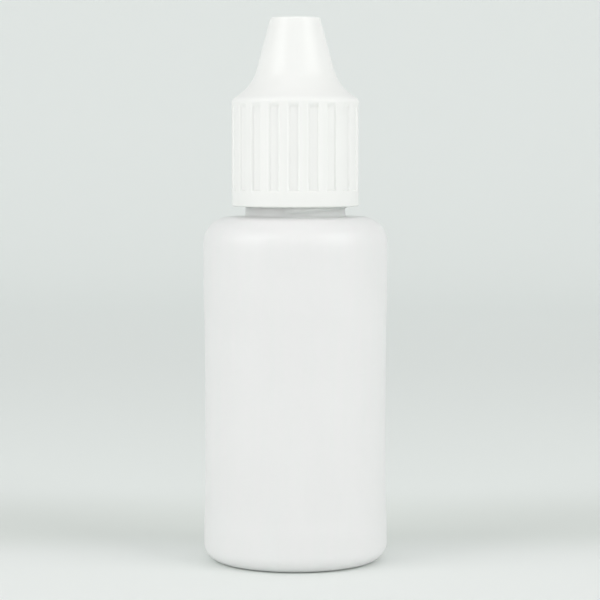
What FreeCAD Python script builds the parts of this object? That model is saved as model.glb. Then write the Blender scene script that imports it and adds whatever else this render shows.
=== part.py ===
import FreeCAD
import Part
import math
import os

# Squeeze dropper bottle, 30 ml: a blow-moulded bottle, a dropper tip pressed into its neck, and a
# spouted screw cap whose pin plugs the tip.
# Millimetres. +Z is up, the origin is on the table under the middle of the base, and -Y is the front.
# Outlines are lists of (radius from the axis, height) points, revolved about Z.

# ---- Driving dimensions ----

# Bottle body
body_diameter = 30.0
body_height = 56.2          # table to the flat of the shoulder
body_wall = 1.0
base_wall = 1.3
heel_radius = 2.8           # outside corner between side and base
shoulder_radius = 4.3       # outside corner between side and shoulder
foot_width = 0.9            # flat ring that stands on the table
push_up = 1.2               # how far the middle of the base is raised
push_up_slope = 2.2         # how far in from the foot the raised part is reached

# Label panel: a slight recess in the side, drawn in a little more at its middle
panel_low = 6.1
panel_margin = 14.6         # top of the panel to the flat of the shoulder
panel_blend = 1.3
panel_depth = 0.1
waist_depth = 0.14

# Mould marks on the bottle
seam_angle = 62.0           # from the front, towards +X
seam_width = 0.3
seam_height = 0.03
pinch_length = 15.0
pinch_width = 0.9
pinch_height = 0.4

# Neck
neck_diameter = 16.25
neck_bore = 12.6
neck_height = 15.8          # flat of the shoulder to the rim
neck_fillet = 0.6
rim_fillet = 0.3

# Screw thread, right hand, one start. Heights across the ridge are measured along the axis.
thread_diameter = 17.7      # over the ridge on the neck
thread_pitch = 3.175
thread_crest = 0.9
thread_flank = 30.0         # of a flank, from square to the axis
thread_corner = 0.16        # rounding of the crest's corners
thread_runout = 14.0        # degrees in which a ridge rises from the wall
neck_thread_low = 0.5       # flat of the shoulder to the lower edge of the first ridge
neck_thread_top = 1.6       # upper edge of the last ridge to the rim
neck_thread_start = -13.5   # from the front, towards +X
thread_radial_gap = 0.2     # crest to the facing wall
thread_flank_gap = 0.07     # between the two flanks that carry the load
cap_thread_crest = 0.8
cap_thread_height = 0.75
cap_thread_lead = 2.0       # turns from the start of the neck's ridge to that of the cap's
cap_thread_turns = 1.5

# Dropper tip
tip_fit = 0.03              # bead to bore
tip_bead = 0.16             # height of a sealing bead
tip_bead_width = 1.1
tip_plug_length = 8.0       # below the rim
tip_plug_wall = 0.95
tip_lead_in = 1.3
tip_flange_cover = 0.68     # share of the rim's width that the flange covers
tip_flange = 1.2
nozzle_height = 12.4        # above the flange
nozzle_foot_diameter = 7.2
nozzle_diameter = 4.3       # at the top
nozzle_wall = 1.1
nozzle_fillet = 1.4
nozzle_lip = 0.55
orifice_diameter = 1.0
orifice_length = 1.6
mouth_diameter = 2.0
mouth_depth = 1.0

# Cap
cap_gap = 1.7               # flat of the shoulder to the cap's lower edge
cap_wall = 1.0              # skirt, at the bottom of a groove
cap_band = 2.6              # height of the plain band under the grooves
cap_edge = 0.3              # rounding of the lower edge
cap_lead_in = 0.45
rib_count = 20
rib_depth = 0.28
rib_share = 0.42            # of the pitch that a rib's flat top takes
rib_flank = 0.3             # width of a rib's sloping side
rib_phase = -1.5            # middle of a groove, from the front, towards +X
rib_runout = 0.7            # height in which a groove rises to the surface
rib_margin = 1.4            # where that starts, below the cap's shoulder corner
cap_shoulder = 1.0          # rounding between skirt and shoulder
cap_roof = 0.9              # ceiling over the neck to the cap's shoulder corner
seat_gap = 0.05             # seat ring to the tip's flange
seat_height = 1.0
seat_width = 0.8
spout_foot_diameter = 13.8  # where the spout's side and the shoulder's slope would meet
spout_foot_rise = 2.45      # that point above the cap's shoulder corner
spout_flare = 7.2
spout_wall = 1.15
spout_room = 1.0            # beside the nozzle, at its top
spout_headroom = 1.3        # above the nozzle
spout_top = 1.5             # thickness of the closed end
spout_edge = 0.45
pin_diameter = 2.4
pin_gap = 0.04
gate_diameter = 2.2
gate_depth = 0.3

# ---- Places worked out from them ----

body_radius = body_diameter / 2
neck_radius = neck_diameter / 2
bore_radius = neck_bore / 2
thread_radius = thread_diameter / 2
neck_wall = neck_radius - bore_radius
rim_edge = min(rim_fillet, neck_wall / 4)
flange_radius = bore_radius + neck_wall * tip_flange_cover
rim_z = body_height + neck_height
flange_z = rim_z + tip_flange
nozzle_z = flange_z + nozzle_height
cap_z = body_height + cap_gap
seat_z = flange_z + seat_gap
ceiling_z = seat_z + seat_height
cap_shoulder_z = ceiling_z + cap_roof
spout_inside_z = nozzle_z + spout_headroom
cap_top_z = spout_inside_z + spout_top
skirt_inside = thread_radius + thread_radial_gap
groove_radius = skirt_inside + cap_wall
cap_radius = groove_radius + rib_depth
seat_outside = flange_radius - 0.25
seat_inside = seat_outside - seat_width
front = -90.0               # of the front, in degrees from +X


# ---- Drawing helpers ----

def at(radius, z):
    return FreeCAD.Vector(radius, 0, z)


def round_corner(before, corner, after, radius):
    """The arc that rounds a corner between two straight runs: its ends, its middle and its centre."""
    into = (before - corner).normalize()
    out = (after - corner).normalize()
    half = into.getAngle(out) / 2
    centre = corner + (into + out).normalize() * (radius / math.sin(half))
    run = radius / math.tan(half)
    middle = centre + (corner - centre).normalize() * radius
    return corner + into * run, middle, corner + out * run, centre


def outline(points):
    """Edges through (radius, height) or (radius, height, corner radius) points, corners rounded."""
    places = [at(p[0], p[1]) for p in points]
    edges, last = [], places[0]
    for i in range(1, len(points)):
        if i < len(points) - 1 and len(points[i]) == 3:
            start, middle, end, _ = round_corner(places[i - 1], places[i], places[i + 1], points[i][2])
            if last.distanceToPoint(start) > 1e-6:
                edges.append(Part.makeLine(last, start))
            edges.append(Part.Arc(start, middle, end).toShape())
            last = end
        elif last.distanceToPoint(places[i]) > 1e-6:
            edges.append(Part.makeLine(last, places[i]))
            last = places[i]
    return edges


def revolve(edges):
    """The solid that an outline sweeps about Z, closed by a straight run from its end to its start."""
    wire = Part.Wire(edges)
    if not wire.isClosed():
        ends = wire.OrderedVertexes
        wire = Part.Wire(edges + [Part.makeLine(ends[-1].Point, ends[0].Point)])
    face = Part.Face(wire)
    return face.revolve(FreeCAD.Vector(), FreeCAD.Vector(0, 0, 1), 360)


def blend(low, high):
    """A smooth S between two points of a side, upright at both ends."""
    third = (high.z - low.z) / 3
    curve = Part.BezierCurve()
    curve.setPoles([low, at(low.x, low.z + third), at(high.x, high.z - third), high])
    return curve.toShape()


def turned(shape, degrees):
    """A copy turned about Z, so that what faced +X faces that many degrees round from the front."""
    copy = shape.copy()
    copy.rotate(FreeCAD.Vector(), FreeCAD.Vector(0, 0, 1), front + degrees)
    return copy


def smooth(share):
    share = min(1.0, max(0.0, share))
    return share * share * (3 - 2 * share)


def one_solid(shape):
    """The shape's only solid, with faces that continue each other joined."""
    solids = shape.removeSplitter().Solids
    if len(solids) != 1 or not solids[0].isValid():
        raise ValueError("a piece came out as %d solids" % len(solids))
    return solids[0]


# ---- Thread ----

def flank_width(height):
    return height * math.tan(math.radians(thread_flank))


def ridge(wall, height, crest, outward, start_z, start_angle, turns):
    """A screw ridge that stands `height` off a round wall, and sinks into it at both ends.

    start_z is the height of the ridge's middle where it starts, and outward is 1 on the neck, -1 in the cap.
    """
    sink = 0.3
    steps = 32
    corner = thread_corner * math.tan(math.radians(45 - thread_flank / 2))
    half = crest / 2
    base = half + flank_width(height + sink)
    bevel = thread_corner * math.cos(math.radians(thread_flank))
    drop = thread_corner * (1 - math.sin(math.radians(thread_flank)))
    # Across the ridge: (height along the axis, how far off the wall)
    section = [
        (-base, -sink),
        (-half - flank_width(drop), height - drop),
        (-half + bevel - corner, height),
        (half - bevel + corner, height),
        (half + flank_width(drop), height - drop),
        (base, -sink),
    ]
    count = int(math.ceil(turns * steps)) + 1
    shares = [i / (count - 1) for i in range(count)]
    curves = []
    for along, off in section:
        points = []
        for share in shares:
            turn = share * turns
            from_end = min(turn, turns - turn) * 360
            rise = smooth(from_end / thread_runout)
            # At its ends the whole section has sunk into the wall
            stand = off - (1 - rise) * (height + sink / 3)
            radius = wall + outward * stand
            angle = math.radians(front + start_angle + 360 * turn)
            z = start_z + thread_pitch * turn + along
            points.append(FreeCAD.Vector(radius * math.cos(angle), radius * math.sin(angle), z))
        curve = Part.BSplineCurve()
        curve.interpolate(Points=points, Parameters=shares)
        curves.append(curve.toShape())
    loop = curves + curves[:1]
    faces = [Part.makeRuledSurface(a, b) for a, b in zip(loop, loop[1:])]
    for end in (0, 1):
        corners = [c.Vertexes[-end].Point for c in curves]
        faces.append(Part.Face(Part.makePolygon(corners + corners[:1])))
    solid = Part.Solid(Part.Shell(faces))
    if solid.Volume < 0:
        solid.reverse()
    return solid


neck_ridge_height = thread_radius - neck_radius
neck_ridge_base = thread_crest / 2 + flank_width(neck_ridge_height)
neck_ridge_z = body_height + neck_thread_low + neck_ridge_base
neck_ridge_top = rim_z - neck_thread_top - neck_ridge_base
neck_thread_turns = (neck_ridge_top - neck_ridge_z) / thread_pitch


def neck_thread():
    return ridge(neck_radius, neck_ridge_height, thread_crest, 1,
                 neck_ridge_z, neck_thread_start, neck_thread_turns)


def cap_thread():
    """The cap's ridge hangs its upper flank under the lower flank of the neck's ridge."""
    overlap = thread_radius - (skirt_inside - cap_thread_height)
    below = thread_crest / 2 + cap_thread_crest / 2 + flank_width(overlap) + thread_flank_gap
    start_z = neck_ridge_z + cap_thread_lead * thread_pitch - below
    start_angle = neck_thread_start + 360 * cap_thread_lead
    return ridge(skirt_inside, cap_thread_height, cap_thread_crest, -1,
                 start_z, start_angle, cap_thread_turns)


# ---- Bottle ----

def side(radius, low, high):
    """The upright side with its label panel, from one height to another, at a radius off the panel."""
    panel_top = body_height - panel_margin
    inner_low = at(radius - panel_depth, panel_low + panel_blend)
    inner_top = at(radius - panel_depth, panel_top - panel_blend)
    waist = Part.BezierCurve()
    waist.setPoles([inner_low, at(inner_low.x - 2 * waist_depth, (panel_low + panel_top) / 2), inner_top])
    return [
        Part.makeLine(at(radius, low), at(radius, panel_low)),
        blend(at(radius, panel_low), inner_low),
        waist.toShape(),
        blend(inner_top, at(radius, panel_top)),
        Part.makeLine(at(radius, panel_top), at(radius, high)),
    ]


def outside(grow=0.0):
    """The bottle's outer form as a full solid, up to the rim, grown by a little where asked."""
    radius = body_radius + grow
    foot = body_radius - heel_radius - foot_width
    base = outline([
        (0, push_up),
        (foot - push_up_slope, push_up, 3.0),
        (foot, -grow, 0.5),
        (radius, -grow, heel_radius),
        (radius, heel_radius - grow),
    ])
    top = outline([
        (radius, body_height - shoulder_radius + grow),
        (radius, body_height + grow, shoulder_radius),
        (neck_radius + grow, body_height + grow, neck_fillet),
        (neck_radius + grow, rim_z, rim_edge),
        (0, rim_z),
    ])
    return revolve(base + side(radius, heel_radius - grow, body_height - shoulder_radius + grow) + top)


def inside():
    """The space in the bottle, open at the rim."""
    radius = body_radius - body_wall
    heel = max(heel_radius - body_wall, 0.5)
    shoulder = max(shoulder_radius - body_wall, 0.5)
    floor_z = push_up + base_wall
    low_z = base_wall
    roof_z = body_height - body_wall
    foot = body_radius - heel_radius - foot_width
    base = outline([
        (0, floor_z),
        (foot - push_up_slope, floor_z, 2.0),
        (foot, low_z, 1.0),
        (radius, low_z, heel),
        (radius, low_z + heel),
    ])
    top = outline([
        (radius, roof_z - shoulder),
        (radius, roof_z, shoulder),
        (bore_radius, roof_z, neck_fillet + body_wall),
        (bore_radius, rim_z - rim_edge),
        (bore_radius + rim_edge, rim_z),
        (bore_radius + rim_edge, rim_z + 1),
        (0, rim_z + 1),
    ])
    return revolve(base + side(radius, low_z + heel, roof_z - shoulder) + top)


def plate(width, low, high):
    """An upright plate through the axis, on the plane where the two halves of the mould met."""
    reach = body_radius + 5
    box = Part.makeBox(2 * reach, width, high - low, FreeCAD.Vector(-reach, -width / 2, low))
    return turned(box, seam_angle)


def make_bottle():
    solid = outside()
    seam = outside(seam_height).common(plate(seam_width, foot_width / 2, body_height + neck_fillet))
    pinch = Part.makeBox(pinch_length, pinch_width, 2 * pinch_height,
                         FreeCAD.Vector(-pinch_length / 2, -pinch_width / 2, push_up - pinch_height))
    uprights = [e for e in pinch.Edges if abs(e.tangentAt(e.FirstParameter).z) > 0.9]
    pinch = pinch.makeFillet(pinch_width * 0.45, uprights)
    solid = solid.fuse([seam, turned(pinch, seam_angle), neck_thread()])
    return one_solid(solid.cut(inside()))


# ---- Dropper tip ----

def bead(wall, middle):
    """The three points of a low rounded ring on an upright wall, from below."""
    return [at(wall, middle - tip_bead_width / 2), at(wall + tip_bead, middle), at(wall, middle + tip_bead_width / 2)]


def make_tip():
    plug = bore_radius - tip_fit - tip_bead
    plug_inside = plug - tip_plug_wall
    low_z = rim_z - tip_plug_length
    foot = nozzle_foot_diameter / 2
    tip = nozzle_diameter / 2
    chamber_z = nozzle_z - mouth_depth - orifice_length
    chamber_foot = foot - nozzle_wall
    orifice = orifice_diameter / 2
    beads = [bead(plug, rim_z - share * tip_plug_length) for share in (0.58, 0.25)]

    edges = outline([(plug_inside, low_z), (plug - 0.3, low_z, 0.25), (plug, low_z + tip_lead_in)])
    last = edges[-1].lastVertex(True).Point
    for low, middle, high in beads:
        edges.append(Part.makeLine(last, low))
        edges.append(Part.Arc(low, middle, high).toShape())
        last = high
    edges += outline([
        (plug, last.z),
        (plug, rim_z),
        (flange_radius, rim_z),
        (flange_radius, flange_z, 0.3),
        (foot, flange_z, nozzle_fillet),
        (tip, nozzle_z, nozzle_lip),
        (mouth_diameter / 2, nozzle_z),
        (orifice, nozzle_z - mouth_depth),
        (orifice, chamber_z),
        (chamber_foot, flange_z - 0.2, 1.0),
        (plug_inside, flange_z - tip_flange, 0.5),
        (plug_inside, low_z),
    ])
    return one_solid(revolve(edges))


# ---- Cap ----

def spout_places():
    """The corner points of the cap's outside: skirt corner, foot of the spout, and top."""
    top = nozzle_diameter / 2 + spout_room + spout_wall - spout_top * 0.2
    return at(cap_radius, cap_shoulder_z), at(spout_foot_diameter / 2, cap_shoulder_z + spout_foot_rise), \
        at(top, cap_top_z)


def cap_outside():
    """Outline from the lower edge up to the small dish and nub that the mould's gate leaves on the top."""
    shoulder, foot, top = spout_places()
    gate_radius = gate_diameter / 2
    return outline([
        (skirt_inside + cap_lead_in, cap_z),
        (cap_radius, cap_z, cap_edge),
        (cap_radius, shoulder.z, cap_shoulder),
        (foot.x, foot.z, spout_flare),
        (top.x, top.z, spout_edge),
        (gate_radius, top.z),
        (gate_radius, top.z - gate_depth),
        (gate_radius * 0.4, top.z - gate_depth),
        (gate_radius * 0.3, top.z - gate_depth * 0.3),
        (0, top.z - gate_depth * 0.3),
    ])


def cap_inside():
    """Outline from the lower edge up the skirt, round the seat ring and the spout, to the sealing pin."""
    shoulder, foot, top = spout_places()
    _, _, flare_top, centre = round_corner(shoulder, foot, top, spout_flare)
    radius = spout_flare + spout_wall
    inward = (flare_top - centre).normalize()
    arc_top = centre + inward * radius
    reach = centre.x - seat_inside
    arc_low = at(seat_inside, centre.z - math.sqrt(radius * radius - reach * reach))
    arc_middle = centre + ((arc_top + arc_low) * 0.5 - centre).normalize() * radius
    slope = (top.x - flare_top.x) / (top.z - flare_top.z)
    end = arc_top.x + slope * (spout_inside_z - arc_top.z)
    skirt = outline([
        (skirt_inside + cap_lead_in, cap_z),
        (skirt_inside, cap_z + cap_lead_in),
        (skirt_inside, ceiling_z, 0.5),
        (seat_outside, ceiling_z, 0.3),
        (seat_outside, seat_z),
        (seat_inside, seat_z),
        (seat_inside, arc_low.z),
    ])
    # The pin hangs from the closed end, and its cone plugs the mouth of the tip
    mouth = mouth_diameter / 2
    cone = (mouth - orifice_diameter / 2) / mouth_depth
    pin_end = mouth_depth * 0.9
    spout = outline([
        (arc_top.x, arc_top.z),
        (end, spout_inside_z, 0.5),
        (pin_diameter / 2, spout_inside_z),
        (mouth - pin_gap, nozzle_z + pin_gap),
        (mouth - pin_gap - cone * pin_end, nozzle_z - pin_end, 0.12),
        (0, nozzle_z - pin_end),
    ])
    return skirt + [Part.Arc(arc_low, arc_middle, arc_top).toShape()] + spout


def cap_grooves():
    """What is cut away between the ribs: blocks with sloping sides that run out at the shoulder."""
    beyond = cap_radius + 1.5
    low_z, top_z = cap_z + cap_band, cap_shoulder_z - rib_margin
    mouth = math.pi * cap_radius / rib_count * (1 - rib_share)
    slope = rib_flank / rib_depth
    near, far = mouth - rib_flank, mouth + slope * (beyond - cap_radius)
    high_z = top_z + rib_runout * (beyond - groove_radius) / rib_depth
    across = [(groove_radius, -near), (beyond, -far), (beyond, far), (groove_radius, near)]
    low = [FreeCAD.Vector(x, y, low_z) for x, y in across]
    top = [FreeCAD.Vector(x, y, top_z if x == groove_radius else high_z) for x, y in across]
    sides = [[low[i - 1], low[i], top[i], top[i - 1]] for i in range(4)]
    faces = [Part.Face(Part.makePolygon(ring + ring[:1])) for ring in [low, top] + sides]
    block = Part.Solid(Part.Shell(faces))
    return [turned(block, rib_phase + 360.0 * i / rib_count) for i in range(rib_count)]


def make_cap():
    outside, inside = cap_outside(), cap_inside()
    axis = Part.makeLine(outside[-1].lastVertex(True).Point, inside[-1].lastVertex(True).Point)
    shell = revolve(outside + [axis] + inside[::-1])
    return one_solid(shell.fuse(cap_thread()).cut(cap_grooves()))


# ---- Write the pieces ----

pieces = {
    "bottle": make_bottle,
    "dropper_tip": make_tip,
    "cap": make_cap,
}
os.makedirs("parts", exist_ok=True)
for name, make in pieces.items():
    shape = make()
    shape.exportStep("parts/%s.step" % name)
    box = shape.BoundBox
    print("%-12s %8.1f mm3  z %6.2f to %6.2f  x %6.2f to %6.2f" % (
        name, shape.Volume, box.ZMin, box.ZMax, box.XMin, box.XMax))
print("neck thread %.2f turns, cap rises %.3f mm a turn" % (neck_thread_turns, thread_pitch))
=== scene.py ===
import math

import bmesh
import bpy
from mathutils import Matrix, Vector, noise


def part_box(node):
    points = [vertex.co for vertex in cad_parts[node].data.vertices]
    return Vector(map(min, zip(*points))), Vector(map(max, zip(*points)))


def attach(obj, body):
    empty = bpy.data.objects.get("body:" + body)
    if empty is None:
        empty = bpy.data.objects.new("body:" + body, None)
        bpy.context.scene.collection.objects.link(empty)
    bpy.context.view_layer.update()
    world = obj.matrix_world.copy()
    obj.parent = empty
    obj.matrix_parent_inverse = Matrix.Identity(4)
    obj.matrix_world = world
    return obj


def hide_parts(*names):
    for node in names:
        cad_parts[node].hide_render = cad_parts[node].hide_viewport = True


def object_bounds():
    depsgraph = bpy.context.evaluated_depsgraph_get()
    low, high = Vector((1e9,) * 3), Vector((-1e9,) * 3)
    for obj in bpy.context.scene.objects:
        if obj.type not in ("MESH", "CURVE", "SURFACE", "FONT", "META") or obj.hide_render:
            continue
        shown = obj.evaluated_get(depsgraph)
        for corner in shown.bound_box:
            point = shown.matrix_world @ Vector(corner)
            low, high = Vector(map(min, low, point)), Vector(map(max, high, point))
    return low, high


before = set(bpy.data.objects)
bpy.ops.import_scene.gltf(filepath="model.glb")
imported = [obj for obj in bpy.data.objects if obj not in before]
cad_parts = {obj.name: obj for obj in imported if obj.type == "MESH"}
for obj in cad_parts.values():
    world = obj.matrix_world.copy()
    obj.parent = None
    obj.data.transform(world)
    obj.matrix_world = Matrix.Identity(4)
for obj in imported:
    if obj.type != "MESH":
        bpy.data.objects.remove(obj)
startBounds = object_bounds()
scene = bpy.context.scene
mm = 0.001
joinGap = 0.02 * mm     # rings this close together are bridged
print("frame loaded:", sorted(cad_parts))


# Shared mesh tools: outlines are (radius, height) corners, some with a rounding as a third value

def rounded(corners, steps=6):
    points = []
    for i, corner in enumerate(corners):
        here = Vector((corner[0], 0, corner[1]))
        if len(corner) < 3:
            points.append(here)
            continue
        back = Vector((corners[i - 1][0], 0, corners[i - 1][1])) - here
        onward = Vector((corners[i + 1][0], 0, corners[i + 1][1])) - here
        back.normalize()
        onward.normalize()
        half = back.angle(onward) / 2
        run = corner[2] / math.tan(half)
        centre = here + (back + onward).normalized() * corner[2] / math.sin(half)
        start, end = here + back * run - centre, here + onward * run - centre
        sweep = math.pi - 2 * half
        aside = (end - start * math.cos(sweep)) / math.sin(sweep)
        turns = [sweep * k / steps for k in range(steps + 1)]
        points += [centre + start * math.cos(turn) + aside * math.sin(turn) for turn in turns]
    return points


def spaced(points, gap):
    # long straight runs get more points, so that the wall can be shaped later
    made = [points[0]]
    for point in points[1:]:
        last = made[-1].copy()
        count = max(1, math.ceil((point - last).length / gap))
        made += [last.lerp(point, k / count) for k in range(1, count + 1)]
    return made


def smooth(share):
    share = min(1.0, max(0.0, share))
    return share * share * (3 - 2 * share)


def fromFront(co):
    return math.atan2(co.x, -co.y)  # 0 at the front, positive towards +X


def setRadius(co, radius):
    share = radius / math.hypot(co.x, co.y)
    co.x *= share
    co.y *= share


def drawLine(bm, points):
    verts = [bmesh.ops.create_vert(bm, co=points[0])["vert"][0]]
    edges = []
    for point in points[1:]:
        grown = bmesh.ops.extrude_vert_indiv(bm, verts=[verts[-1]])
        grown["verts"][0].co = point
        verts += grown["verts"]
        edges += grown["edges"]
    return verts + edges


def absorb(bm, part):
    mesh = bpy.data.meshes.new("part")
    part.to_mesh(mesh)
    part.free()
    bm.from_mesh(mesh)
    bpy.data.meshes.remove(mesh)


def lathe(bm, points, columns, sectors=8, shape=None):
    # one sector is spun and shaped, then copied round the axis
    part = bmesh.new()
    step = 2 * math.pi / sectors
    bmesh.ops.spin(part, geom=drawLine(part, points), cent=(0, 0, 0), axis=(0, 0, 1), dvec=(0, 0, 0),
                   angle=step, steps=columns // sectors)
    if shape:
        shape(part.verts)
    bmesh.ops.spin(part, geom=part.verts[:] + part.edges[:] + part.faces[:], cent=(0, 0, 0), axis=(0, 0, 1),
                   dvec=(0, 0, 0), angle=step * (sectors - 1), steps=sectors - 1, use_duplicate=True)
    bmesh.ops.remove_doubles(part, verts=part.verts, dist=0.002 * mm)
    absorb(bm, part)


def joinRings(bm, low, high):
    # closes the narrow gap between two open rings, one at each of these heights
    low, high = low - joinGap, high + joinGap
    edges = [e for e in bm.edges if e.is_boundary and all(low < v.co.z < high for v in e.verts)]
    bmesh.ops.bridge_loops(bm, edges=edges)


def makePiece(bm, name, body, node, material, sharp=40):
    bmesh.ops.recalc_face_normals(bm, faces=bm.faces)
    openEdges = sum(1 for e in bm.edges if not e.is_manifold)
    mesh = bpy.data.meshes.new(name)
    bm.to_mesh(mesh)
    bm.free()
    mesh.shade_smooth()
    mesh.set_sharp_from_angle(angle=math.radians(sharp))
    mesh.materials.append(material)
    piece = bpy.data.objects.new(name, mesh)
    scene.collection.objects.link(piece)
    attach(piece, body)
    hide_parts(node)
    print(name, "made:", len(mesh.polygons), "faces,", openEdges, "open edges")


# Materials: a wrapped socket does arithmetic, and every other node comes from Finish.node

class Value:
    def __init__(self, finish, socket):
        self.finish = finish
        self.socket = socket

    def maths(self, operation, first, second=0.0):
        return self.finish.node("ShaderNodeMath", {"operation": operation}, {0: first, 1: second})

    def __add__(self, other):
        return self.maths("ADD", self, other)

    def __radd__(self, other):
        return self.maths("ADD", other, self)

    def __mul__(self, other):
        return self.maths("MULTIPLY", self, other)

    def __rmul__(self, other):
        return self.maths("MULTIPLY", other, self)

    def __gt__(self, other):
        return self.maths("GREATER_THAN", self, other)

    def __lt__(self, other):
        return self.maths("LESS_THAN", self, other)


class Finish:
    def __init__(self, name):
        self.material = bpy.data.materials.new(name)
        self.material.use_nodes = True
        self.tree = self.material.node_tree
        self.tree.nodes.clear()
        self.place = self.node("ShaderNodeTexCoord", out="Object")

    def node(self, kind, settings=None, sockets=None, out=0):
        made = self.tree.nodes.new(kind)
        for key, setting in (settings or {}).items():
            setattr(made, key, setting)
        for key, value in (sockets or {}).items():
            if isinstance(value, Value):
                self.tree.links.new(value.socket, made.inputs[key])
            else:
                made.inputs[key].default_value = value
        return Value(self, made.outputs[out]) if made.outputs else made

    def stretched(self, scale):
        return self.node("ShaderNodeMapping", {"vector_type": "POINT"}, {"Vector": self.place, "Scale": scale})

    def cloud(self, size, detail=2.0, roughness=0.5, stretch=(1, 1, 1)):
        # noise whose features are about `size` across; stretch below 1 draws them out that way
        return self.node("ShaderNodeTexNoise", {"noise_dimensions": "3D"},
                         {"Vector": self.stretched(stretch), "Scale": 1 / size, "Detail": detail,
                          "Roughness": roughness})

    def along(self, axis):
        return self.node("ShaderNodeSeparateXYZ", sockets={"Vector": self.place}, out=axis)

    def between(self, value, low, high):
        # 0 below low, 1 above high, with soft ends
        return self.node("ShaderNodeMapRange", {"interpolation_type": "SMOOTHSTEP"},
                         {"Value": value, "From Min": low, "From Max": high})

    def mix(self, factor, a, b):
        return self.node("ShaderNodeMix", {"data_type": "RGBA"},
                         {"Factor": factor, 6: a, 7: b}, out=2)

    def bump(self, height, depth, below=None):
        sockets = {"Height": height, "Distance": depth, "Strength": 1.0}
        if below is not None:
            sockets["Normal"] = below
        return self.node("ShaderNodeBump", sockets=sockets)

    def specks(self, spacing, size, share):
        # sparse round specks of dust: only the cells whose random colour is high enough hold one
        sockets = {"Vector": self.place, "Scale": 1 / spacing}
        distance = self.node("ShaderNodeTexVoronoi", {"feature": "F1"}, sockets)
        cell = self.node("ShaderNodeTexVoronoi", {"feature": "F1"}, sockets, out="Color")
        chance = self.node("ShaderNodeSeparateColor", sockets={"Color": cell})
        return (distance < size / spacing) * (chance > 1 - share)

    def plastic(self, sockets):
        shader = self.node("ShaderNodeBsdfPrincipled", {"subsurface_method": "RANDOM_WALK"}, sockets)
        self.node("ShaderNodeOutputMaterial", sockets={"Surface": shader})
        return self.material


milky = {
    "thin": (0.91, 0.97, 0.93, 1),      # where the wall is thin
    "dense": (0.95, 0.98, 0.955, 1),    # where it is thick
    "dust": (0.12, 0.11, 0.1, 1),
    "scatter": 1.0 * mm,
    "ior": 1.51,
    "cloudSize": 9 * mm,                # how uneven the wall looks
    "cloudDepth": 0.12 * mm,
    "flowSize": 1.6 * mm,               # lines left by the flow of the melt
    "flowDepth": 0.02 * mm,
    "flowRoughness": 0.08,
    "skinSize": 0.45 * mm,
    "skinDepth": 0.004 * mm,
    "scuffSize": 2.4 * mm,
    "scuffRoughness": 0.12,
    "dustSpacing": 7 * mm,
    "dustSize": 0.16 * mm,
    "dustShare": 0.05,
}


def milkyPlastic(name, clear, roughness, drawn):
    # natural polyethylene: waxy, cloudy and a little see-through; drawn is how far flow lines run along Z
    spec = milky
    finish = Finish(name)
    cloud = finish.cloud(spec["cloudSize"], 3, 0.55, (1, 1, drawn))
    flow = finish.cloud(spec["flowSize"], 2, 0.5, (1, 1, drawn * 0.3))
    skin = finish.cloud(spec["skinSize"], 3, 0.6)
    scuffs = finish.between(finish.cloud(spec["scuffSize"], 8, 0.7, (0.35, 1, 1)), 0.6, 0.72)
    dust = finish.specks(spec["dustSpacing"], spec["dustSize"], spec["dustShare"])
    body = finish.mix(finish.between(cloud + flow * 0.35, 0.45, 0.85), spec["thin"], spec["dense"])
    waves = finish.bump(cloud, spec["cloudDepth"])
    lines = finish.bump(flow, spec["flowDepth"], waves)
    return finish.plastic({
        "Base Color": finish.mix(dust, body, spec["dust"]),
        "Roughness": roughness + flow * spec["flowRoughness"] + scuffs * spec["scuffRoughness"],
        "Normal": finish.bump(skin, spec["skinDepth"], lines),
        "IOR": spec["ior"],
        "Subsurface Weight": 1.0,
        "Subsurface Radius": (1, 1, 1),
        "Subsurface Scale": spec["scatter"],
        "Transmission Weight": clear,
    })


whitePlastic = {
    "colour": (0.84, 0.845, 0.832, 1),
    "shade": (0.822, 0.827, 0.813, 1),
    "dust": (0.1, 0.09, 0.08, 1),
    "spoutRoughness": 0.3,
    "skirtRoughness": 0.4,
    "polish": (1 * mm, 2 * mm),         # from below to above the shoulder, the skirt's finish turns glossy
    "ior": 1.49,
    "scatterShare": 0.7,
    "scatter": 0.5 * mm,
    "toneSize": 6 * mm,
    "toneRoughness": 0.06,
    "swirlSize": 2.5 * mm,
    "swirlDepth": 0.006 * mm,
    "skinSize": 0.35 * mm,
    "skinDepth": 0.004 * mm,
    "scuffSize": 1.5 * mm,
    "scuffRoughness": 0.03,
    "dustSpacing": 6 * mm,
    "dustSize": 0.14 * mm,
    "dustShare": 0.06,
}


def capPlastic(skirtTop):
    # white polypropylene: glossy spout, softer skirt
    spec = whitePlastic
    finish = Finish("whitePolypropylene")
    tone = finish.cloud(spec["toneSize"], 3, 0.5, (1, 1, 0.4))
    skin = finish.cloud(spec["skinSize"], 3, 0.6)
    swirl = finish.cloud(spec["swirlSize"], 2, 0.5, (1, 1, 0.25))
    scuffs = finish.between(finish.cloud(spec["scuffSize"], 8, 0.7, (1, 1, 0.4)), 0.6, 0.7)
    dust = finish.specks(spec["dustSpacing"], spec["dustSize"], spec["dustShare"])
    below, above = spec["polish"]
    spout = finish.between(finish.along("Z"), skirtTop - below, skirtTop + above)
    rough = spec["skirtRoughness"] + spout * (spec["spoutRoughness"] - spec["skirtRoughness"])
    body = finish.mix(tone, spec["colour"], spec["shade"])
    return finish.plastic({
        "Base Color": finish.mix(dust, body, spec["dust"]),
        "Roughness": rough + tone * spec["toneRoughness"] + scuffs * spec["scuffRoughness"],
        "Normal": finish.bump(skin, spec["skinDepth"], finish.bump(swirl, spec["swirlDepth"])),
        "IOR": spec["ior"],
        "Subsurface Weight": spec["scatterShare"],
        "Subsurface Radius": (1, 1, 1),
        "Subsurface Scale": spec["scatter"],
    })


# Screw thread, one start, right hand: shared by neck and cap

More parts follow.
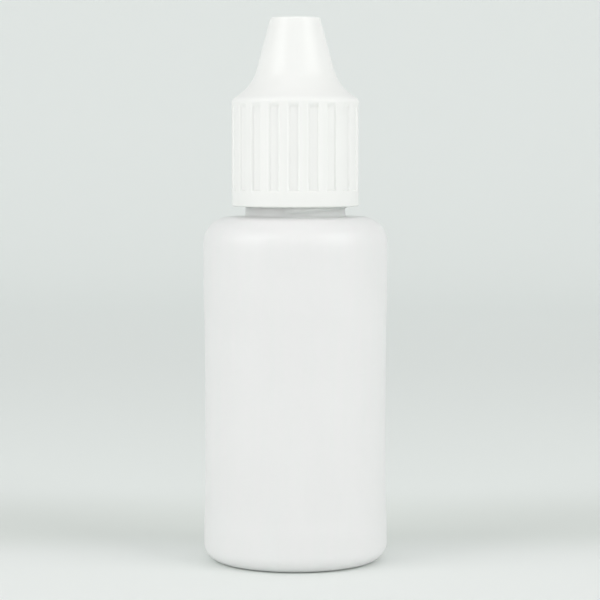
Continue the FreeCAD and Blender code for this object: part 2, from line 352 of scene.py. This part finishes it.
thread = {
    "pitch": 3.175 * mm,
    "flank": math.radians(30),
    "corner": 0.16 * mm,
    "root": 0.1 * mm,
    "runOut": math.radians(14),
}


def threadedWall(bm, wall, outward, ridge, low, high, columns):
    # one pitch of wall with its ridge is wound up the axis, then trimmed flat at both ends
    half, pitch = ridge["crest"] / 2, thread["pitch"]
    base = half + ridge["height"] * math.tan(thread["flank"])
    crest = wall + outward * ridge["height"]
    below = math.ceil((ridge["startZ"] - low) / pitch) + 1
    above = math.ceil((high - ridge["startZ"]) / pitch) + 1
    middle = ridge["startZ"] - below * pitch
    section = rounded([
        (wall, middle - pitch / 2),
        (wall, middle - base, thread["root"]),
        (crest, middle - half, thread["corner"]),
        (crest, middle + half, thread["corner"]),
        (wall, middle + base, thread["root"]),
        (wall, middle + pitch / 2),
    ], 3)
    start = ridge["startAngle"] - math.pi / 2
    for point in section:
        point.x, point.y = point.x * math.cos(start), point.x * math.sin(start)
    part = bmesh.new()
    bmesh.ops.spin(part, geom=drawLine(part, section), cent=(0, 0, 0), axis=(0, 0, 1),
                   dvec=(0, 0, pitch / columns), angle=2 * math.pi, steps=columns)
    oneTurn = part.verts[:] + part.edges[:] + part.faces[:]
    for turn in range(1, below + above):
        copy = bmesh.ops.duplicate(part, geom=oneTurn)["geom"]
        verts = [g for g in copy if isinstance(g, bmesh.types.BMVert)]
        bmesh.ops.translate(part, verts=verts, vec=(0, 0, turn * pitch))
    for vert in part.verts:
        stand = math.hypot(vert.co.x, vert.co.y) - wall
        along = ((fromFront(vert.co) - ridge["startAngle"]) / (2 * math.pi)) % 1
        along += round((vert.co.z - ridge["startZ"]) / pitch - along)
        ends = min(along, ridge["turns"] - along) * 2 * math.pi / thread["runOut"]
        setRadius(vert.co, wall + stand * smooth(ends))
    bmesh.ops.remove_doubles(part, verts=part.verts, dist=0.004 * mm)
    for height, facing in ((low, -1), (high, 1)):
        bmesh.ops.bisect_plane(part, geom=part.verts[:] + part.edges[:] + part.faces[:], dist=0.0001 * mm,
                               plane_co=(0, 0, height), plane_no=(0, 0, facing), clear_outer=True)
    absorb(bm, part)


# Bottle: a blown shell with an uneven inner wall

bottle = {
    "clear": 0.16,
    "roughness": 0.26,
    "drawn": 0.3,
    "columns": 192,
    "wall": 1.0 * mm,
    "baseWall": 1.3 * mm,
    "heel": 2.8 * mm,
    "shoulder": 4.3 * mm,
    "foot": 0.9 * mm,
    "pushUp": 1.2 * mm,
    "pushSlope": 2.2 * mm,
    "neckHeight": 15.8 * mm,
    "neckRadius": 8.125 * mm,
    "neckFillet": 0.55 * mm,
    "bore": 6.3 * mm,
    "boreFlare": 1.6 * mm,
    "rimEdge": 0.3 * mm,
    "plainBelow": 0.62 * mm,     # of the neck, under the wound thread
    "plainAbove": 1.2 * mm,      # and over it
    "panelLow": 6.1 * mm,
    "panelTop": 14.6 * mm,       # below the shoulder's flat
    "panelBlend": 2.2 * mm,
    "panelDepth": 0.1 * mm,
    "waist": 0.14 * mm,
    "seamAngle": math.radians(62),
    "seamWidth": 0.55 * mm,
    "seamHeight": 0.03 * mm,
    "pinchLength": 15 * mm,
    "pinchWidth": 0.9 * mm,
    "pinchHeight": 0.4 * mm,
    "uneven": 0.12 * mm,
    "unevenScale": 110,          # lumps in a metre
}
bottleLow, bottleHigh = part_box("bottle")
rimZ = bottleHigh.z
shoulderZ = rimZ - bottle["neckHeight"]
bodyRadius = (bottleHigh.x - bottleLow.x) / 2
neckRidge = {
    "crest": 0.9 * mm,
    "height": 0.725 * mm,
    "startAngle": math.radians(-13.5),
    "startRise": 0.5 * mm,       # from the shoulder to the ridge's lower edge
    "endDrop": 2.1 * mm,         # from the rim down to its upper edge
}
ridgeSlope = neckRidge["height"] * math.tan(thread["flank"])
neckRidge["startZ"] = shoulderZ + neckRidge["startRise"] + neckRidge["crest"] / 2 + ridgeSlope
neckRidge["turns"] = (rimZ - shoulderZ - neckRidge["endDrop"] - neckRidge["crest"] - 2 * ridgeSlope) / thread["pitch"]


def panel(z):
    # how far the side is drawn in at this height
    low, high = bottle["panelLow"], shoulderZ - bottle["panelTop"]
    inside = smooth((z - low) / bottle["panelBlend"]) * smooth((high - z) / bottle["panelBlend"])
    across = min(1.0, max(0.0, (z - low) / (high - low)))
    return inside * (bottle["panelDepth"] + bottle["waist"] * 4 * across * (1 - across))


def shapeBottle(bm, foot, inRadius, roof):
    # the label panel and waist, the parting lines, the uneven inner wall and the pinch-off ridge
    spec = bottle
    half = 0.5 * spec["wall"]
    for vert in bm.verts:
        co = vert.co
        radius = math.hypot(co.x, co.y)
        if radius > foot and co.z < shoulderZ:
            drawn = panel(co.z)
            aside = abs(math.sin(fromFront(co) - spec["seamAngle"])) * radius
            if radius > inRadius + half * smooth((co.z - 1.2 * mm) / mm):
                drawn -= spec["seamHeight"] * smooth(1 - aside / spec["seamWidth"])
            elif co.z < roof:
                bulge = noise.noise(co * spec["unevenScale"]) * smooth((co.z - 3 * mm) / (4 * mm))
                drawn += spec["uneven"] * bulge
            setRadius(co, radius - drawn)
        elif radius < foot - spec["pushSlope"] and co.z < spec["pushUp"] + 0.1 * mm:
            turn = math.pi / 2 - spec["seamAngle"]
            along = abs(co.x * math.cos(turn) - co.y * math.sin(turn))
            aside = abs(co.x * math.sin(turn) + co.y * math.cos(turn))
            ridge = smooth((spec["pinchLength"] / 2 - along) / (0.6 * mm) + 0.5)
            co.z -= spec["pinchHeight"] * ridge * smooth(1.5 - aside / spec["pinchWidth"] * 2)


def makeBottle():
    spec = bottle
    foot = bodyRadius - spec["heel"] - spec["foot"]
    wallTop, wallLow = rimZ - spec["plainAbove"], shoulderZ + spec["plainBelow"]
    bm = bmesh.new()
    outer = rounded([
        (0, spec["pushUp"]),
        (foot - spec["pushSlope"], spec["pushUp"], 3 * mm),
        (foot, 0, 0.5 * mm),
        (bodyRadius, 0, spec["heel"]),
        (bodyRadius, shoulderZ, spec["shoulder"]),
        (spec["neckRadius"], shoulderZ, spec["neckFillet"]),
        (spec["neckRadius"], wallLow - joinGap),
    ], 10)
    lathe(bm, spaced(outer, 0.7 * mm), spec["columns"])
    threadedWall(bm, spec["neckRadius"], 1, neckRidge, wallLow, wallTop, spec["columns"])
    inRadius, roof = bodyRadius - spec["wall"], shoulderZ - spec["wall"]
    inner = rounded([
        (spec["neckRadius"], wallTop + joinGap),
        (spec["neckRadius"], rimZ, spec["rimEdge"]),
        (spec["bore"], rimZ, spec["rimEdge"]),
        (spec["bore"], roof, spec["boreFlare"]),
        (inRadius, roof, spec["shoulder"] - spec["wall"]),
        (inRadius, spec["baseWall"], spec["heel"] - spec["wall"]),
        (foot, spec["baseWall"], 1 * mm),
        (foot - spec["pushSlope"], spec["pushUp"] + spec["baseWall"], 2 * mm),
        (0, spec["pushUp"] + spec["baseWall"]),
    ], 8)
    lathe(bm, spaced(inner, 1.0 * mm), spec["columns"])
    joinRings(bm, wallLow - joinGap, wallLow)
    joinRings(bm, wallTop, wallTop + joinGap)
    shapeBottle(bm, foot, inRadius, roof)
    material = milkyPlastic("naturalPolyethylene", spec["clear"], spec["roughness"], spec["drawn"])
    makePiece(bm, "bottle_shell", "bottle", "bottle", material)


makeBottle()


# Dropper tip: plug with two beads, flange and nozzle

tip = {
    "clear": 0.18,
    "roughness": 0.24,
    "drawn": 1.0,
    "columns": 128,
    "fit": 0.03 * mm,
    "bead": 0.16 * mm,
    "beadWidth": 1.1 * mm,
    "beadPlaces": (0.58, 0.25),      # shares of the plug's length, down from the rim
    "plugWall": 0.95 * mm,
    "plugLength": 8 * mm,
    "leadIn": 1.3 * mm,
    "flange": 1.2 * mm,
    "cover": 0.68,                   # share of the rim that the flange covers
    "footRadius": 3.6 * mm,
    "noseRadius": 2.15 * mm,
    "nozzleWall": 1.1 * mm,
    "mouth": 1.0 * mm,
    "mouthDepth": 1.0 * mm,
    "orifice": 0.5 * mm,
    "orificeLength": 1.6 * mm,
}
tipLow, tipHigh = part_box("dropper_tip")
flangeRadius = bottle["bore"] + tip["cover"] * (bottle["neckRadius"] - bottle["bore"])


def makeTip():
    spec = tip
    flangeZ, noseZ = rimZ + spec["flange"], tipHigh.z
    plug = bottle["bore"] - spec["fit"] - spec["bead"]
    plugIn = plug - spec["plugWall"]
    beads = []
    side = spec["beadWidth"] / 2
    for share in spec["beadPlaces"]:
        middle = rimZ - share * spec["plugLength"]
        beads += [(plug, middle - side), (plug + spec["bead"], middle, 0.9 * mm), (plug, middle + side)]
    points = rounded([
        (plugIn, tipLow.z),
        (plug - 0.3 * mm, tipLow.z, 0.25 * mm),
        (plug, tipLow.z + spec["leadIn"]),
        *beads,
        (plug, rimZ - 0.05 * mm),
        (plug + 0.1 * mm, rimZ),
        (flangeRadius, rimZ, 0.1 * mm),
        (flangeRadius, flangeZ, 0.3 * mm),
        (spec["footRadius"], flangeZ, 1.4 * mm),
        (spec["noseRadius"], noseZ, 0.55 * mm),
        (spec["mouth"], noseZ, 0.05 * mm),
        (spec["orifice"], noseZ - spec["mouthDepth"]),
        (spec["orifice"], noseZ - spec["mouthDepth"] - spec["orificeLength"]),
        (spec["footRadius"] - spec["nozzleWall"], flangeZ - 0.2 * mm, 1 * mm),
        (plugIn, rimZ, 0.5 * mm),
        (plugIn, tipLow.z),
    ], 5)
    bm = bmesh.new()
    lathe(bm, spaced(points, 1.2 * mm), spec["columns"])
    material = milkyPlastic("tipPolyethylene", spec["clear"], spec["roughness"], spec["drawn"])
    makePiece(bm, "dropper_nozzle", "dropper_tip", "dropper_tip", material)


makeTip()


# Cap: ribbed skirt, flared spout, sealing pin

cap = {
    "columns": 640,
    "threadColumns": 160,
    "inRadius": 9.05 * mm,
    "skirtWall": 1.0 * mm,           # under the grooves
    "plainBelow": 0.5 * mm,          # of the inner wall, under the wound thread
    "plainAbove": 1.2 * mm,          # and over it
    "band": 2.6 * mm,
    "edge": 0.3 * mm,
    "leadIn": 0.45 * mm,
    "ribs": 20,
    "ribDepth": 0.28 * mm,
    "ribShare": 0.42,
    "ribFlank": 0.3 * mm,
    "ribStart": 0.06 * mm,
    "ribPhase": math.radians(-1.5),
    "runOut": 0.7 * mm,
    "ribMargin": 1.4 * mm,
    "shoulder": 1.0 * mm,
    "roof": 0.9 * mm,
    "footRadius": 6.9 * mm,
    "footRise": 2.45 * mm,
    "flare": 7.2 * mm,
    "wall": 1.15 * mm,
    "topRadius": 4.0 * mm,
    "topEdge": 0.45 * mm,
    "top": 1.5 * mm,
    "seatGap": 0.05 * mm,
    "seatInset": 0.25 * mm,          # from the flange's edge
    "seatHeight": 1.0 * mm,
    "seatWidth": 0.8 * mm,
    "pin": 1.2 * mm,
    "pinGap": 0.04 * mm,
    "pinDepth": 0.9 * mm,
    "gate": 1.1 * mm,
    "gateDepth": 0.3 * mm,
    "barrel": 0.03 * mm,
}
capLow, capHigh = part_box("cap")
seatZ = rimZ + tip["flange"] + cap["seatGap"]
ceilingZ = seatZ + cap["seatHeight"]
capShoulderZ = ceilingZ + cap["roof"]
capRadius = cap["inRadius"] + cap["skirtWall"] + cap["ribDepth"]
capRidge = {
    "crest": 0.8 * mm,
    "height": 0.75 * mm,
    "startAngle": neckRidge["startAngle"],
    "startZ": neckRidge["startZ"] + 2 * thread["pitch"] - 0.92 * mm - 0.55 * mm * math.tan(thread["flank"]),
    "turns": 1.5,
}


def shapeSkirt(verts):
    # a slight barrel, and grooves pressed in between the ribs
    pitch = 2 * math.pi / cap["ribs"]
    mouth = pitch * capRadius * (1 - cap["ribShare"]) / 2
    low, top = capLow.z + cap["band"], capShoulderZ - cap["ribMargin"]
    for vert in verts:
        co = vert.co
        radius = math.hypot(co.x, co.y)
        if co.z > capShoulderZ - cap["shoulder"] or radius < capRadius - 0.5 * mm:
            continue
        away = (co.z - capLow.z) / (top - capLow.z) * 2 - 1
        radius -= cap["barrel"] * away * away
        around = (fromFront(co) - cap["ribPhase"]) / pitch
        aside = abs(around - round(around)) * pitch * capRadius
        deep = smooth((mouth - aside) / cap["ribFlank"])
        deep *= smooth((co.z - low) / cap["ribStart"]) * smooth(1 - (co.z - top) / cap["runOut"])
        setRadius(co, radius - cap["ribDepth"] * deep)


def makeCap():
    spec = cap
    bm = bmesh.new()
    low, top, rim = capLow.z, capHigh.z, spec["inRadius"] + spec["leadIn"]
    bandTop, runTop = low + spec["band"], capShoulderZ - spec["ribMargin"]
    lip = rim + 0.15 * mm
    outer = rounded([
        (lip, low),
        (capRadius, low, spec["edge"]),
        (capRadius, bandTop),
        (capRadius, bandTop + spec["ribStart"]),
        (capRadius, runTop - 0.1 * mm),
        (capRadius, runTop + 0.2 * mm),
        (capRadius, runTop + 0.4 * mm),
        (capRadius, capShoulderZ, spec["shoulder"]),
        (spec["footRadius"], capShoulderZ + spec["footRise"], spec["flare"]),
        (spec["topRadius"], top, spec["topEdge"]),
        (spec["gate"], top, 0.08 * mm),
        (spec["gate"], top - spec["gateDepth"], 0.08 * mm),
        (0.44 * mm, top - spec["gateDepth"], 0.06 * mm),
        (0.33 * mm, top - spec["gateDepth"] * 0.3, 0.08 * mm),
        (0, top - spec["gateDepth"] * 0.3),
    ], 8)
    lathe(bm, spaced(outer, 1.2 * mm), spec["columns"], spec["ribs"], shapeSkirt)
    wallLow, wallTop = low + spec["leadIn"] + spec["plainBelow"], ceilingZ - spec["plainAbove"]
    mouthRing = rounded([
        (rim, low),
        (spec["inRadius"], low + spec["leadIn"]),
        (spec["inRadius"], wallLow - joinGap),
    ])
    lathe(bm, mouthRing, spec["threadColumns"])
    threadedWall(bm, spec["inRadius"], -1, capRidge, wallLow, wallTop, spec["threadColumns"])
    seatOut = flangeRadius - spec["seatInset"]
    seatIn = seatOut - spec["seatWidth"]
    spoutTop = top - spec["top"]
    slope = (spec["footRadius"] - spec["topRadius"]) / (top - capShoulderZ - spec["footRise"])
    headRadius = spec["topRadius"] - spec["wall"] + slope * spec["top"]
    kneeZ = capShoulderZ + spec["footRise"] - 0.3 * mm
    kneeRadius = headRadius + slope * (spoutTop - kneeZ)
    noseZ = tipHigh.z
    mouth = tip["mouth"] - spec["pinGap"]
    cone = (tip["mouth"] - tip["orifice"]) / tip["mouthDepth"]
    inner = rounded([
        (spec["inRadius"], wallTop + joinGap),
        (spec["inRadius"], ceilingZ, 0.5 * mm),
        (seatOut, ceilingZ, 0.3 * mm),
        (seatOut, seatZ, 0.08 * mm),
        (seatIn, seatZ, 0.08 * mm),
        (seatIn, kneeZ - (seatIn - kneeRadius) * 0.9),
        (kneeRadius, kneeZ, 3 * mm),
        (headRadius, spoutTop, 0.5 * mm),
        (spec["pin"], spoutTop, 0.2 * mm),
        (mouth, noseZ + spec["pinGap"]),
        (mouth - cone * spec["pinDepth"], noseZ - spec["pinDepth"], 0.12 * mm),
        (0, noseZ - spec["pinDepth"]),
    ], 6)
    lathe(bm, spaced(inner, 1.2 * mm), spec["threadColumns"])
    joinRings(bm, wallLow - joinGap, wallLow)
    joinRings(bm, wallTop, wallTop + joinGap)
    joinRings(bm, low, low)
    makePiece(bm, "screw_cap", "cap", "cap", capPlastic(capShoulderZ), sharp=34)


makeCap()


# Stage: pale floor that curves up, far behind, into a grey-green backdrop

stage = {
    "floor": (0.815, 0.835, 0.825, 1),
    "paintedShadow": (0.74, 0.77, 0.745, 1),       # painted shadow: a darker strip on the floor just behind the object
    "low": (0.81, 0.84, 0.825, 1),
    "back": (0.84, 0.87, 0.855, 1),
    "paintedBacklight": (0.055, 0.062, 0.06, 1),     # painted light: the far backdrop glows, standing in for light from behind it
    "paintedShadowAt": (0.0, 0.025),               # each tone comes in between these places along Y
    "lowAt": (0.035, 0.08),
    "backAt": (0.2, 0.5),
    "paintedBacklightAt": (0.3, 0.85),
    "roughness": 0.6,
    "grainSize": 2 * mm,
    "grainDepth": 0.01 * mm,
    "width": 6.0,
    "front": -3.0,
    "bend": 0.6,         # behind the middle of the object
    "bendRadius": 0.3,
    "bendSteps": 16,
    "height": 2.0,
}


def makeStage():
    side, bend, radius = -stage["width"] / 2, stage["bend"], stage["bendRadius"]
    line = [(side, stage["front"], 0), (side, bend, 0)]
    for step in range(1, stage["bendSteps"] + 1):
        turn = math.pi / 2 * step / stage["bendSteps"]
        line.append((side, bend + radius * math.sin(turn), radius * (1 - math.cos(turn))))
    line.append((side, bend + radius, stage["height"]))
    bm = bmesh.new()
    drawLine(bm, line)
    sheet = bmesh.ops.extrude_edge_only(bm, edges=bm.edges[:])
    far = [g for g in sheet["geom"] if isinstance(g, bmesh.types.BMVert)]
    bmesh.ops.translate(bm, verts=far, vec=(stage["width"], 0, 0))
    bmesh.ops.recalc_face_normals(bm, faces=bm.faces)
    mesh = bpy.data.meshes.new("studio_sweep")
    bm.to_mesh(mesh)
    bm.free()
    mesh.shade_smooth()
    finish = Finish("sweepPaper")
    back = finish.along("Y")
    grain = finish.cloud(stage["grainSize"], 4, 0.6)
    tone = stage["floor"]
    # floor tones laid in along Y; the painted shadow strip darkens the floor just behind the object
    for name in ("paintedShadow", "low", "back"):
        tone = finish.mix(finish.between(back, *stage[name + "At"]), tone, stage[name])
    mesh.materials.append(finish.plastic({
        "Base Color": tone,
        "Roughness": stage["roughness"] + grain * 0.1,
        "Normal": finish.bump(grain, stage["grainDepth"]),
        # painted light: emission makes the far backdrop glow
        "Emission Color": finish.mix(finish.between(back, *stage["paintedBacklightAt"]), (0, 0, 0, 1), stage["paintedBacklight"]),
        "Emission Strength": 1.0,
    }))
    sweep = bpy.data.objects.new("studio_sweep", mesh)
    scene.collection.objects.link(sweep)
    print("stage made")


makeStage()


# Light and camera

lights = {
    "left": {"azimuth": -58, "elevation": 24, "distance": 0.62, "size": (0.42, 0.5), "power": 1.35},
    "right": {"azimuth": 57, "elevation": 24, "distance": 0.62, "size": (0.42, 0.5), "power": 1.35},
    "front": {"azimuth": 0, "elevation": 14, "distance": 0.8, "size": (0.8, 0.24), "power": 0.2},
    "colour": (1.0, 1.0, 0.985),
    "ambient": 0.7,
}
camera = {
    "near": 0.01,
    "distance": 0.356,
    "height": 0.067,
    "aside": 0.00075,
    "pitch": math.radians(3.926),
    "lens": 131.1,
}


def addLight(name, spec, centre):
    data = bpy.data.lights.new(name, "AREA")
    data.shape = "RECTANGLE"
    data.size, data.size_y = spec["size"]
    data.energy = spec["power"]
    data.color = lights["colour"]
    turn, rise = math.radians(spec["azimuth"]), math.radians(spec["elevation"])
    away = Vector((math.sin(turn) * math.cos(rise), -math.cos(turn) * math.cos(rise), math.sin(rise)))
    lamp = bpy.data.objects.new(name, data)
    lamp.location = centre + away * spec["distance"]
    lamp.rotation_euler = (-away).to_track_quat("-Z", "Y").to_euler()
    scene.collection.objects.link(lamp)


centre = Vector((0, 0, (startBounds[0].z + startBounds[1].z) / 2))
for side in ("left", "right", "front"):
    addLight(side + "Softbox", lights[side], centre)

world = bpy.data.worlds.new("studio")
world.use_nodes = True
surround = world.node_tree.nodes["Background"].inputs
surround["Color"].default_value = (1.0, 1.0, 1.0, 1)
surround["Strength"].default_value = lights["ambient"]
scene.world = world

cameraData = bpy.data.cameras.new("camera")
cameraData.lens = camera["lens"]
cameraData.clip_start = camera["near"]
viewer = bpy.data.objects.new("camera", cameraData)
viewer.location = (camera["aside"], -camera["distance"], startBounds[0].z + camera["height"])
viewer.rotation_euler = (math.pi / 2 - camera["pitch"], 0, 0)
scene.collection.objects.link(viewer)
scene.camera = viewer
scene.view_settings.view_transform = "Standard"
print("light and camera set")
